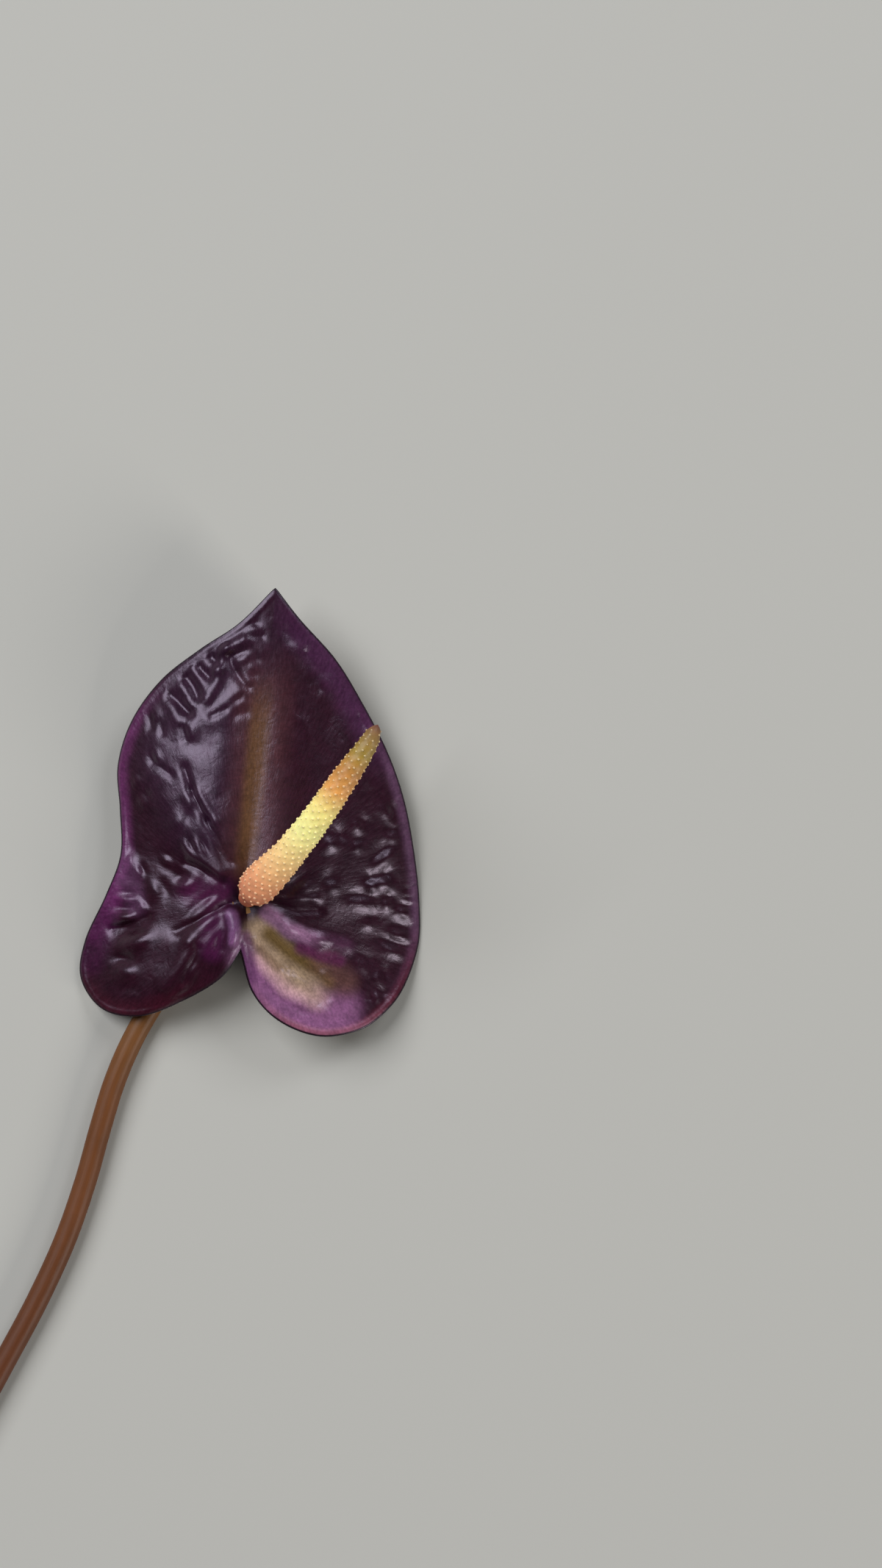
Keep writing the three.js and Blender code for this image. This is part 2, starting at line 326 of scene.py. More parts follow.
PITS = [
    # the dark pits between the branches, and the dimples of the upper right
    ((-20.4, 55.2), (-14.4, 50.6), 1.2, 1.3),
    ((-16.0, 60.6), (-12.2, 55.2), 1.1, 1.3),
    ((-12.6, 63.8), (-9.8, 60.4), 0.8, 1.0),
    ((-9.2, 66.0), (-7.4, 64.6), 1.1, 1.0),
    ((-4.2, 66.0), (-3.2, 62.0), 1.1, 1.0),
    ((-2.6, 60.4), (0.2, 57.6), 1.1, 0.9),
    ((-17.4, 46.8), (-16.4, 43.6), 0.9, 0.8),
    ((-23.4, 48.4), (-22.6, 45.0), 0.9, 0.8),
    ((-26.6, 50.0), (-26.0, 46.0), 0.9, 0.4),
    ((-8.4, 50.0), (-5.2, 51.6), 0.8, 0.8),
    ((-3.2, 53.4), (-1.6, 54.4), 0.8, 0.6),
    ((-2.6, 49.6), (0.4, 50.4), 0.9, 0.6),
    ((1.6, 71.6), (4.2, 71.2), 1.0, 0.6),
    ((12.0, 73.0), (13.0, 71.0), 1.6, 0.6),
    ((17.4, 66.6), (20.0, 62.4), 1.7, 0.8),
    ((19.4, 59.4), (20.4, 57.8), 1.4, 0.6),
    ((31.0, 49.6), (32.0, 48.0), 1.3, 0.7),
    ((22.0, 34.0), (25.0, 30.0), 2.2, 0.5),
    ((-28.6, 27.0), (-25.0, 24.0), 2.2, 0.4),
    ((-21.0, 9.6), (-18.6, 8.0), 1.4, 0.5),
]
RIDGE_SHARE = 0.9  # all ridges and pits are lowered to this share of their heights
SOFTNESS = 1.25  # every stroke is this much broader than its own half width


def distance_to_stroke(x, y, start, end):
    """Distance in plan to the straight line between two points."""
    start, end = np.array(start), np.array(end)
    run = end - start
    t = np.clip(((x - start[0]) * run[0] + (y - start[1]) * run[1]) / (run @ run), 0, 1)
    return np.hypot(x - start[0] - t * run[0], y - start[1] - t * run[1])


def ridges(x, y):
    """Height of all the strokes together. Each is round-backed, and fades out at its ends as at its sides."""
    height = np.zeros_like(x)
    for strokes, sign in ((RIDGES, 1), (PITS, -1)):
        for start, end, half_width, rise in strokes:
            distance = distance_to_stroke(x, y, start, end)
            height += sign * rise * np.exp(-((distance / (SOFTNESS * half_width)) ** 2))
    return height


ridge_height = RIDGE_SHARE * ridges(bent_x, bent_y)
print(f"{len(RIDGES)} ridges and {len(PITS)} pits")
print(f"they run from {ridge_height.min():.1f} to {ridge_height.max():.1f} mm")

# %% [markdown]
# ## Cushions
# Between the folds sit separate cushions, each with a hollow behind it. They could be ridges too, but a ridge
# keeps its height and catches the light in a hard streak, while a cushion swells and dies away both ways. So
# a cushion is an oval dome next to an oval hollow, and the stroke lies on the slope between the two.

# %% Cushions, one by one: (x, y) from, (x, y) to, half width, height
CUSHIONS = [
    # along the right edge, from the top down
    ((27.4, 43.4), (28.2, 41.6), 1.2, 0.4),
    ((33.2, 34.2), (34.0, 32.0), 1.3, 0.4),
    ((39.0, 33.4), (39.8, 30.2), 2.2, 0.7),
    ((38.0, 25.8), (39.2, 23.4), 1.8, 1.1),
    ((37.6, 18.0), (40.6, 18.4), 1.5, 0.9),
    ((35.8, 11.0), (38.4, 14.2), 1.9, 1.2),
    ((32.8, 4.6), (34.8, 4.9), 2.0, 1.3),
    ((37.0, 5.6), (39.0, 5.5), 1.9, 1.3),
    ((28.2, 0.9), (33.2, -0.6), 1.7, 1.0),
    ((37.2, -0.4), (38.6, -0.8), 1.7, 1.1),
    ((43.0, 2.6), (44.6, 2.7), 0.9, 0.5),
    ((42.8, 0.3), (44.8, 0.2), 0.9, 0.5),
    ((41.2, -2.9), (44.4, -3.6), 1.5, 1.1),
    ((32.2, -4.8), (34.4, -6.0), 1.5, 0.8),
    ((39.6, -8.4), (43.0, -9.5), 1.7, 1.3),
    ((37.4, -12.3), (42.2, -14.0), 1.8, 1.3),
    ((30.6, -16.0), (33.6, -18.6), 1.8, 0.8),
    ((36.0, -20.2), (37.4, -22.0), 1.6, 0.9),
    ((36.0, -25.6), (37.0, -26.6), 1.4, 0.7),
    ((32.2, -27.0), (33.4, -28.4), 1.1, 0.5),
    ((28.4, -27.6), (29.8, -29.6), 1.2, 0.5),
    # between the spadix and the right edge
    ((22.8, 17.6), (24.4, 16.0), 2.2, 1.2),
    ((30.4, 21.2), (31.4, 19.2), 1.4, 0.8),
    ((29.4, 15.8), (31.0, 15.4), 1.5, 0.6),
    ((13.0, 3.2), (17.0, 5.6), 1.8, 1.0),
    ((22.2, 5.4), (24.2, 5.9), 1.8, 0.7),
    # the left side
    ((-17.4, 28.2), (-16.8, 26.0), 1.6, 0.8),
    ((-17.0, 23.4), (-16.2, 21.4), 2.0, 1.2),
    ((-15.6, 16.4), (-14.6, 13.6), 1.0, 0.9),
    ((-12.4, 16.6), (-10.8, 13.4), 1.3, 1.0),
    ((-28.4, 28.0), (-26.8, 27.2), 1.5, 0.7),
    ((-29.6, 33.9), (-28.6, 33.2), 1.4, 0.5),
    ((-24.6, 39.6), (-23.8, 37.2), 1.3, 0.9),
    ((-25.0, 49.8), (-24.2, 47.0), 1.2, 0.8),
    ((-21.0, 12.4), (-20.0, 11.4), 1.1, 0.7),
    ((-18.4, 5.0), (-16.8, 6.2), 1.8, 1.1),
    ((-23.6, 4.8), (-22.4, 1.4), 1.8, 1.0),
    ((-33.6, 12.8), (-30.0, 11.6), 2.4, 0.8),
    ((-29.4, 9.0), (-28.0, 7.0), 1.2, 0.9),
    # the left lobe
    ((-34.4, 1.7), (-30.0, 0.7), 1.2, 1.1),
    ((-28.4, -0.6), (-26.6, -2.4), 1.2, 0.9),
    ((-35.6, -3.1), (-30.0, -3.6), 2.0, 1.4),
    ((-34.4, -11.6), (-27.6, -8.2), 2.2, 2.3),
    ((-35.0, -18.2), (-31.2, -18.4), 2.2, 2.6),
    ((-32.4, -25.2), (-30.4, -24.8), 1.5, 0.5),
    ((-15.0, -4.4), (-12.2, -1.6), 1.4, 0.8),
    ((-11.0, -0.6), (-8.4, 1.2), 1.3, 0.7),
    # beside the tip, and inside the ring of the ridge
    ((2.0, 74.3), (3.8, 73.7), 1.5, 0.9),
    ((-2.4, 65.7), (0.2, 66.6), 1.2, 0.9),
    ((1.6, 64.4), (3.2, 63.8), 1.2, 0.7),
    ((0.8, 60.5), (1.8, 59.8), 1.4, 0.8),
]
CUSHION_SHARE = 0.62  # all cushions are lowered to this share of their heights
HOLLOW_SHARE = 0.8  # depth of the hollow, as a share of the dome's height
UPHILL = np.array([-0.35, 1.0])  # the hollow lies on this side of its dome


def cushions(x, y):
    """Height of all the cushions together."""
    height = np.zeros_like(x)
    for start, end, half_width, rise in CUSHIONS:
        start, end = np.array(start), np.array(end)
        middle, run = (start + end) / 2, (end - start) / 2
        half_length = np.linalg.norm(run)
        run = run / half_length
        side = np.array([-run[1], run[0]])
        side = side * np.sign(side @ UPHILL)
        u = ((x - middle[0]) * run[0] + (y - middle[1]) * run[1]) / (half_length + 0.5 * half_width)
        v = ((x - middle[0]) * side[0] + (y - middle[1]) * side[1]) / half_width
        dome = np.exp(-(u * u) - (v + 0.7) ** 2)
        hollow = np.exp(-(u * u) - (v - 0.7) ** 2)
        height += rise * (dome - HOLLOW_SHARE * hollow)
    return height


cushion_height = CUSHION_SHARE * cushions(broad_x, broad_y)
print(f"{len(CUSHIONS)} cushions, from {cushion_height.min():.1f} to {cushion_height.max():.1f} mm")

# %% [markdown]
# ## Putting the relief together
# The midrib, the tip and the right half are smoother than the left, so the random swellings are lower there.
# All relief dies away at the margin, and the edge itself is a thin raised bead.

# %% The blade's finished middle surface
SWELL_HEIGHT = 0.2
RIGHT_SWELL_SHARE = 0.4
TIP_SWELL_SHARE = 0.3
BEAD_HEIGHT = 0.22
BEAD_INSET = 0.9

along_midrib, across_midrib = midrib_coordinates(plan_x, plan_y)
from_node = np.hypot(plan_x, plan_y)
bearing = np.arctan2(plan_y, plan_x)

left_half = smoothstep(across_midrib, 6.0, -6.0)
off_tip = TIP_SWELL_SHARE + (1 - TIP_SWELL_SHARE) * smoothstep(along_midrib, 80.0, 62.0)
off_midrib = smoothstep(np.abs(across_midrib), 0.0, 8.0)
off_node = smoothstep(from_node, 4.0, 14.0)
off_edge = smoothstep(edge_distance, 0.5, 3.0)

swell_share = off_node * off_tip * (0.3 + 0.7 * off_midrib)
swell_share *= RIGHT_SWELL_SHARE + (1 - RIGHT_SWELL_SHARE) * left_half
bead = BEAD_HEIGHT * np.exp(-(((edge_distance - BEAD_INSET) / 0.6) ** 2))

strokes = (ridge_height + cushion_height) * strength
relief = off_edge * (strokes + SWELL_HEIGHT * swell_share * unevenness) + bead
blade = np.stack([plan_x, plan_y, plain_height + relief], axis=-1)
print(f"relief runs from {relief.min():.1f} to {relief.max():.1f} mm")

# %% [markdown]
# ## From a surface to a thing with thickness
# A modifier could give the sheet its thickness, but the edge has to be a clean half round, because that is
# the dark line that outlines the whole flower. So each ray is made a closed section: out along the face,
# round the edge in a few steps, and back along the underside. The back of a spathe shows its veins as raised
# ribs, so the main ones are added there.

# %% Sections round the blade, and the mesh they make
THICKNESS = 0.7
EDGE_STEPS = 5
RIB_HEIGHT = 0.7
BACK_RIBS = 13


def surface_normals(grid):
    """Unit normals of a grid that closes on itself from its last column to its first, pointing up."""
    across = np.roll(grid, -1, axis=1) - np.roll(grid, 1, axis=1)
    outward = np.gradient(grid, axis=0)
    normals = np.cross(outward, across)
    normals *= np.sign(normals[..., 2:3])
    return normals / np.linalg.norm(normals, axis=-1, keepdims=True)


def back_ribs():
    """Height of the raised veins under the blade: a keel below the midrib, and ribs that fan out."""
    keel = np.exp(-((across_midrib / 1.3) ** 2)) * smoothstep(along_midrib, 0, 10)
    keel *= smoothstep(along_midrib, MIDRIB_LENGTH, 0.3 * MIDRIB_LENGTH)
    fan = np.clip(np.cos(BACK_RIBS * (bearing - np.arctan2(TIP[1], TIP[0]))), 0, 1) ** 24
    fan *= smoothstep(from_node, 4, 14) * smoothstep(reach, 0.95, 0.4)
    return RIB_HEIGHT * (keel + 0.6 * fan)


normals = surface_normals(blade)
face_rows = blade + normals * THICKNESS / 2
back_rows = blade - normals * (THICKNESS / 2 + back_ribs()[..., None])

rim_outward = np.cross(normals[-1], np.roll(blade[-1], -1, axis=0) - np.roll(blade[-1], 1, axis=0))
rim_outward *= np.sign(np.sum(rim_outward * (blade[-1] - blade[-2]), axis=1, keepdims=True))
rim_outward /= np.linalg.norm(rim_outward, axis=1, keepdims=True)
turn = np.linspace(0, math.pi, EDGE_STEPS)[1:-1, None, None]
rim_rows = blade[-1] + THICKNESS / 2 * (np.cos(turn) * normals[-1] + np.sin(turn) * rim_outward)


def closed_mesh(name, rows, first_pole, last_pole):
    """A mesh of rows that each go all the way round, with a point at each end. Its faces point outwards."""
    count, around = rows.shape[:2]
    vertices = np.vstack([rows.reshape(-1, 3), first_pole, last_pole])
    column = np.arange(around)
    following = (column + 1) % around
    quads = []
    for row in range(count - 1):
        low, high = row * around, (row + 1) * around
        quads += np.column_stack([low + column, low + following, high + following, high + column]).tolist()
    last = (count - 1) * around
    start, end = count * around, count * around + 1
    fans = np.column_stack([following, column, np.full(around, start)]).tolist()
    fans += np.column_stack([last + column, last + following, np.full(around, end)]).tolist()
    mesh = bpy.data.meshes.new(name)
    mesh.from_pydata(to_frame(vertices).tolist(), [], quads + fans)
    mesh.polygons.foreach_set("use_smooth", [True] * len(mesh.polygons))
    if signed_volume(mesh) < 0:
        mesh.flip_normals()
    mesh.validate()
    mesh.update()
    return mesh


def signed_volume(mesh):
    """The mesh's volume, below zero if its faces point inwards."""
    mesh.calc_loop_triangles()
    corners = np.array([tuple(triangle.vertices) for triangle in mesh.loop_triangles])
    places = np.empty(len(mesh.vertices) * 3)
    mesh.vertices.foreach_get("co", places)
    a, b, c = (places.reshape(-1, 3)[corners[:, k]] for k in range(3))
    return float(np.einsum("ij,ij->i", a, np.cross(b, c)).sum() / 6)


section_rows = np.concatenate([face_rows, rim_rows, back_rows[::-1]])
node_top = face_rows[0].mean(axis=0)
node_back = back_rows[0].mean(axis=0)
spathe_mesh = closed_mesh("spathe_blade", section_rows, node_top, node_back)
print(f"spathe: {2 * len(spathe_mesh.polygons)} triangles, volume {signed_volume(spathe_mesh) * 1e9:.0f} mm3")

# %% [markdown]
# ## Pigment, with some painted sheen and shade
# The colour of the blade isn't one colour. A dark aubergine ground is washed with olive along the midrib,
# with a pale valley that turns from olive to lilac in the right lobe, and with magenta and crimson along the
# edges. Painting it as washes, one over the other, copies how the pigments lie in the skin. A few washes are
# painted sheen and highlights instead, and the pit at the node is darkened with painted shade. Each wash is a
# colour and a soft mask, and the result is stored on the mesh as a colour at every point.

# %% Helpers for washes
def ink(red, green, blue):
    """A colour mixed on screen, 0 to 255, as the linear light that a shader works in."""
    value = np.array([red, green, blue]) / 255
    return np.where(value <= 0.04045, value / 12.92, ((value + 0.055) / 1.055) ** 2.4)


def near_line(x, y, points, full, gone):
    """1 within the distance full of a broken line, fading to 0 at the distance gone."""
    distance = np.full(x.shape, 1e9)
    for start, end in zip(points[:-1], points[1:]):
        distance = np.minimum(distance, distance_to_stroke(x, y, start, end))
    return smoothstep(distance, gone, full)


def along_edge(first, last, fade=0.06):
    """1 beside a stretch of the margin. Places count 0 to 1 up the left edge and 1 to 2 down the right."""
    after_first = smoothstep(edge_place, first - fade, first + fade)
    before_last = smoothstep(edge_place, last + fade, last - fade)
    return after_first * before_last


def edge_band(width):
    """1 at the margin, fading to 0 at the distance width."""
    return smoothstep(edge_distance, width, 0.25 * width)


# %% The washes of the face
AUBERGINE = ink(36, 6, 20)
x, y = bent_x, bent_y
on_midrib = smoothstep(along_midrib, 3.0, 14.0)
midrib_flanks = smoothstep(np.abs(across_midrib + 0.2), 11.0, 3.0) * on_midrib * smoothstep(along_midrib, 74, 50)
midrib_stripe = smoothstep(np.abs(across_midrib + 0.6), 4.4, 1.0) * on_midrib * smoothstep(along_midrib, 64, 44)
# the lilac bowl is partly painted highlight, where the right lobe curls up towards the light
lilac_bowl_and_painted_highlight = near_line(x, y, [(3, -16), (9, -27), (18, -31), (26, -32)], 3.5, 10) * smoothstep(x, 36, 26)
pale_streak = near_line(x, y, [(4, -15.5), (12, -23.6), (21, -28)], 0.4, 3.4) * smoothstep(x, 25, 14)
valley = near_line(x, y, [(4, -9), (10, -16), (16, -21.5), (20, -25)], 1.2, 7.0) * smoothstep(x, 27, 13)
WASHES = [
    # the greyer ground of the upper left, partly painted sheen over its broad reflecting facet, and the tip
    (ink(44, 22, 40), near_line(x, y, [(-8, 62), (-14, 40), (-6, 26)], 8, 22), 0.8),
    (ink(38, 16, 32), smoothstep(along_midrib, 58, 72), 0.6),
    # purple bands beside the two long edges; the narrow greyish one along the raised right margin is painted
    # sheen
    (ink(66, 30, 62), edge_band(9.0) * along_edge(1.04, 1.30), 0.8),
    (ink(88, 58, 84), edge_band(3.6) * along_edge(1.28, 1.66), 0.8),
    (ink(92, 38, 82), edge_band(4.4) * along_edge(0.46, 0.74), 0.85),
    # magenta and purple marks on the left side; the pale lilac one on the puffs by the left edge is painted
    # highlight
    (ink(92, 34, 82), near_line(x, y, [(-36, 8), (-38, 0), (-41, -8)], 1.0, 6), 0.85),
    (ink(58, 12, 48), near_line(x, y, [(-41, -8), (-43, -16)], 2, 7), 0.7),
    (ink(96, 58, 92), near_line(x, y, [(-33, 12), (-31, 4), (-30, -1)], 1, 5), 0.5),
    (ink(70, 22, 58), near_line(x, y, [(-14, 3), (-5, 2)], 1, 7), 0.7),
    (ink(66, 14, 56), near_line(x, y, [(-8, -6), (-9, -14)], 1, 5), 0.7),
    # crimson under the lower edges
    (ink(60, 14, 28), edge_band(6.0) * along_edge(0.10, 0.30), 0.7),
    (ink(72, 14, 30), edge_band(3.4) * along_edge(1.60, 1.80), 0.8),
    # the midrib: pink-brown flanks with an olive stripe
    (ink(66, 35, 38), midrib_flanks, 0.9),
    (ink(86, 58, 34), midrib_stripe, 0.95),
    # the inner edge of the left lobe: lavender painted sheen along the ridge there
    (ink(112, 72, 112), near_line(x, y, [(-4.2, -4.0), (-3.2, -8.0), (-2.8, -11.0)], 0.8, 2.4), 0.85),
    # the right lobe: lilac bowl, partly painted highlight where the lobe curls up to the light, olive valley,
    # pink edge
    (ink(126, 80, 118), lilac_bowl_and_painted_highlight, 0.9),
    (ink(186, 142, 156), pale_streak, 0.8),
    (ink(146, 124, 100), valley, 0.95),
    (ink(88, 68, 32), near_line(x, y, [(7, -9), (13, -14), (19, -18.5), (22, -22)], 0.3, 3.2), 0.9),
    (ink(92, 66, 44), near_line(x, y, [(4, -13), (9, -18)], 0.3, 2.0), 0.5),
    (ink(88, 58, 52), near_line(x, y, [(21, -17.5), (26, -22.5)], 0.8, 6.0), 0.7),
    (ink(142, 102, 134), near_line(x, y, [(6, -3.4), (12, -7.2), (19, -10.8)], 0.8, 3.4), 0.8),
    (ink(70, 36, 60), near_line(x, y, [(20, -11.2), (27, -12.4)], 0.8, 4.0), 0.7),
    (ink(76, 22, 60), near_line(x, y, [(15, -12.4), (20, -15.2), (25, -16.6)], 0.6, 2.6), 0.75),
    (ink(132, 76, 92), edge_band(2.6) * along_edge(1.72, 1.90), 0.8),
    (ink(74, 34, 72), near_line(x, y, [(0.2, -10), (0.8, -20)], 0.8, 3.0), 0.7),
]

pigment_and_painted_light = np.broadcast_to(AUBERGINE, x.shape + (3,)).copy()
for colour, mask, cover in WASHES:
    share = (cover * np.clip(mask, 0, 1))[..., None]
    pigment_and_painted_light = pigment_and_painted_light * (1 - share) + colour * share

# painted shade: the colour is darkened in the pit round the node, where the spadix and the stem meet the blade
painted_node_shade = smoothstep(np.hypot(plan_x - 0.5, plan_y - 0.5), 6.5, 2.5)[..., None]
pigment_and_painted_light *= 1 - 0.8 * painted_node_shade
print(f"{len(WASHES)} washes over the aubergine ground")

# %% Store the pigment, with its painted sheen and shade, and the grain on the mesh
EDGE_LINE = ink(20, 7, 15)
BACK_COLOUR = ink(70, 26, 50)
BACK_RIB_COLOUR = ink(96, 40, 58)
GRAIN_STRETCH = 0.4  # the grain is this much coarser along a ray than across it

edge_dark = smoothstep(edge_distance, 0.45, 0.1)[..., None]
face_colour = pigment_and_painted_light * (1 - edge_dark) + EDGE_LINE * edge_dark
rib_share = np.clip(back_ribs() / RIB_HEIGHT, 0, 1)[..., None]
back_colour = BACK_COLOUR * (1 - rib_share) + BACK_RIB_COLOUR * rib_share
rim_colour = np.broadcast_to(EDGE_LINE, rim_rows.shape)

turn_of_ray = 2 * math.pi * np.arange(STATIONS) / STATIONS
grain_radius = MARGIN_LENGTH / (2 * math.pi)
grain_face = np.stack(
    [
        np.broadcast_to(grain_radius * np.cos(turn_of_ray), x.shape),
        np.broadcast_to(grain_radius * np.sin(turn_of_ray), x.shape),
        from_node * GRAIN_STRETCH,
    ],
    axis=-1,
)


def store(mesh, name, kind, rows, poles):
    """Writes one value at every point of a mesh made by closed_mesh."""
    width = rows.shape[-1]
    values = np.vstack([rows.reshape(-1, width), poles])
    attribute = mesh.attributes.new(name, kind, "POINT")
    if kind == "FLOAT_COLOR":
        values = np.column_stack([values, np.ones(len(values))])
    attribute.data.foreach_set("color" if kind == "FLOAT_COLOR" else "vector", values.ravel())


colour_rows = np.concatenate([face_colour, rim_colour, back_colour[::-1]])
grain_rows = np.concatenate([grain_face, np.repeat(grain_face[-1:], len(rim_rows), axis=0), grain_face[::-1]])
store(spathe_mesh, "pigment_and_painted_light", "FLOAT_COLOR", colour_rows, [face_colour[0].mean(0), back_colour[0].mean(0)])
store(spathe_mesh, "grain", "FLOAT_VECTOR", grain_rows, [[0, 0, 0], [0, 0, 0]])

# %% [markdown]
# ## A small kit for materials
# Every finish below is a node tree that starts from Blender's Principled surface. A few helpers keep the
# trees short to read: one starts a material, one adds a node, sets its values and joins its inputs, and the
# others add the few nodes that every finish here uses.

# %% Helpers for node trees
def new_finish(name):
    """A material with an empty Principled surface. Returns the material, its tree and the surface node."""
    material = bpy.data.materials.new(name)
    material.use_nodes = True
    tree = material.node_tree
    return material, tree, tree.nodes["Principled BSDF"]


def add_node(tree, kind, settings=None, **inputs):
    """Adds a node. Inputs are values, or output sockets to join, by the input's name with _ for a space."""
    node = tree.nodes.new(kind)
    for key, value in (settings or {}).items():
        setattr(node, key, value)
    for key, value in inputs.items():
        socket = node.inputs[int(key[1:])] if key[0] == "_" else node.inputs[key.replace("_", " ")]
        if isinstance(value, bpy.types.NodeSocket):
            tree.links.new(value, socket)
        else:
            socket.default_value = value
    return node


def attribute_output(tree, name, output):
    """An output of the Attribute node that reads a value stored on the mesh."""
    node = add_node(tree, "ShaderNodeAttribute", {"attribute_name": name})
    return node.outputs[output]


def noise_node(tree, place, scale, detail, roughness=0.5, distortion=0.0):
    """A smooth noise."""
    values = {"Scale": scale, "Detail": detail, "Roughness": roughness, "Distortion": distortion}
    return add_node(tree, "ShaderNodeTexNoise", Vector=place, **values)


def spread(tree, noise, low, high):
    """The middle of a noise's range, spread from low to high."""
    node = add_node(tree, "ShaderNodeMapRange", Value=noise.outputs[0], _1=0.3, _2=0.7, _3=low, _4=high)
    return node.outputs[0]


def arithmetic(tree, operation, first, second):
    """The result of a sum with two values."""
    return add_node(tree, "ShaderNodeMath", {"operation": operation}, _0=first, _1=second).outputs[0]


def shaded(tree, colour, share):
    """A colour made darker or lighter by a share."""
    return add_node(tree, "ShaderNodeVectorMath", {"operation": "SCALE"}, _0=colour, Scale=share).outputs[0]


def bumped(tree, noise, strength, distance, below=None):
    """The surface's direction tilted by a noise, on top of an earlier tilt if there is one."""
    node = add_node(tree, "ShaderNodeBump", Height=noise.outputs[0], Strength=strength, Distance=distance)
    if below:
        tree.links.new(below, node.inputs["Normal"])
    return node.outputs[0]


def shades(tree, place, stops):
    """A run of colours, from stops of (place, linear colour)."""
    node = add_node(tree, "ShaderNodeValToRGB", Fac=place)
    elements = node.color_ramp.elements
    while len(elements) > 1:
        elements.remove(elements[-1])
    elements[0].position = stops[0][0]
    elements[0].color = (*stops[0][1], 1.0)
    for at, colour in stops[1:]:
        elements.new(at).color = (*colour, 1.0)
    return node.outputs[0]


# %% Put something into the scene
def placed(name, data):
    """A new object that shows the data, linked to the scene."""
    thing = bpy.data.objects.new(name, data)
    bpy.context.scene.collection.objects.link(thing)
    return thing


# %% [markdown]
# ## The skin of the spathe
# The face is waxy and dark, with a satin sheen that follows the big forms and brighter lights on the puffs.
# Fine wrinkles, finer than any mesh should hold, run from the node outwards. They are a noise read on the
# stored grain coordinates, where one step across a ray is far finer than one step along it. The back is
# the same skin with less wax, so it is rougher. Neither has a separate clear coat.

# %% Material of the face and of the back
def spathe_skin(name, roughness, wrinkle_depth):
    """Skin coloured by the stored pigment and painted light, broken up by grain, with wrinkles as bump."""
    material, tree, surface = new_finish(name)
    grain = attribute_output(tree, "grain", "Vector")
    place = add_node(tree, "ShaderNodeTexCoord").outputs["Object"]
    wrinkles = noise_node(tree, grain, 1.1, 3.0)
    hairs = noise_node(tree, grain, 3.2, 2.0, roughness=0.6)
    pores = noise_node(tree, place, 1500.0, 2.0)
    mottle = noise_node(tree, place, 260.0, 5.0, roughness=0.6)
    crinkles = noise_node(tree, place, 420.0, 2.0, roughness=0.4, distortion=0.8)

    coarse = arithmetic(tree, "MULTIPLY", spread(tree, wrinkles, 0.86, 1.16), spread(tree, mottle, 0.8, 1.22))
    uneven = arithmetic(tree, "MULTIPLY", coarse, spread(tree, pores, 0.84, 1.2))
    colour = shaded(tree, attribute_output(tree, "pigment_and_painted_light", "Color"), uneven)
    tree.links.new(colour, surface.inputs["Base Color"])
    tree.links.new(spread(tree, wrinkles, roughness - 0.04, roughness + 0.04), surface.inputs["Roughness"])

    bump = None
    for noise, bump_strength, share in (
        (crinkles, 0.8, 2.6),
        (hairs, 0.5, 0.4),
        (pores, 0.3, 0.3),
        (wrinkles, 0.8, 1.0),
    ):
        bump = bumped(tree, noise, bump_strength, share * wrinkle_depth * MM, bump)
    tree.links.new(bump, surface.inputs["Normal"])
    surface.inputs["Specular IOR Level"].default_value = 0.5
    surface.inputs["Specular Tint"].default_value = (0.92, 0.78, 1.0, 1.0)
    return material


face_skin = spathe_skin("spathe_face", roughness=0.33, wrinkle_depth=0.05)
back_skin = spathe_skin("spathe_back", roughness=0.5, wrinkle_depth=0.25)
spathe_mesh.materials.append(face_skin)
spathe_mesh.materials.append(back_skin)
face_quads = (ROWS - 1 + len(rim_rows)) * STATIONS
all_quads = (len(section_rows) - 1) * STATIONS
material_numbers = np.zeros(len(spathe_mesh.polygons), dtype=np.int32)
material_numbers[face_quads:all_quads] = 1
material_numbers[all_quads + STATIONS :] = 1
spathe_mesh.polygons.foreach_set("material_index", material_numbers)

spathe = placed("spathe_blade", spathe_mesh)
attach(spathe, "root")
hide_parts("spathe")
print("spathe dressed, materials:", [material.name for material in spathe_mesh.materials])

# %% [markdown]
# ## Sweeping a round form along a path
# The stem and the core of the spadix are both round forms that follow a path, and Geometry Nodes do exactly
# that: a curve with a radius at each point, a circle carried along it, and caps. The tree below is built once
# and used for both. Its inputs are the number of sides and the finish.

# %% The tree that sweeps a circle along a curve
def new_tree(name, inputs):
    """A Geometry Nodes tree with geometry in and out, and the named inputs. Returns tree, in and out."""
    tree = bpy.data.node_groups.new(name, "GeometryNodeTree")
    tree.interface.new_socket("Geometry", in_out="INPUT", socket_type="NodeSocketGeometry")
    tree.interface.new_socket("Geometry", in_out="OUTPUT", socket_type="NodeSocketGeometry")
    for label, kind, value in inputs:
        socket = tree.interface.new_socket(label, in_out="INPUT", socket_type=kind)
        if value is not None:
            socket.default_value = value
    return tree, tree.nodes.new("NodeGroupInput"), tree.nodes.new("NodeGroupOutput")


def sweep_tree():
    """Carries a circle along a curve and scales it by the curve's radius."""
    tree, given, result = new_tree(
        "sweep_along_path", [("Sides", "NodeSocketInt", 24), ("Finish", "NodeSocketMaterial", None)]
    )
    circle = add_node(tree, "GeometryNodeCurvePrimitiveCircle", Resolution=given.outputs["Sides"], Radius=1.0)
    radius = add_node(tree, "GeometryNodeInputRadius")
    sweep = tree.nodes.new("GeometryNodeCurveToMesh")
    tree.links.new(given.outputs["Geometry"], sweep.inputs["Curve"])
    tree.links.new(circle.outputs["Curve"], sweep.inputs["Profile Curve"])
    sweep.inputs["Fill Caps"].default_value = True
    if "Scale" in sweep.inputs:
        tree.links.new(radius.outputs[0], sweep.inputs["Scale"])
    finish = add_node(
        tree, "GeometryNodeSetMaterial", Geometry=sweep.outputs[0], Material=given.outputs["Finish"]
    )
    real = add_node(tree, "GeometryNodeRealizeInstances", Geometry=finish.outputs[0])
    tree.links.new(real.outputs[0], result.inputs[0])
    return tree


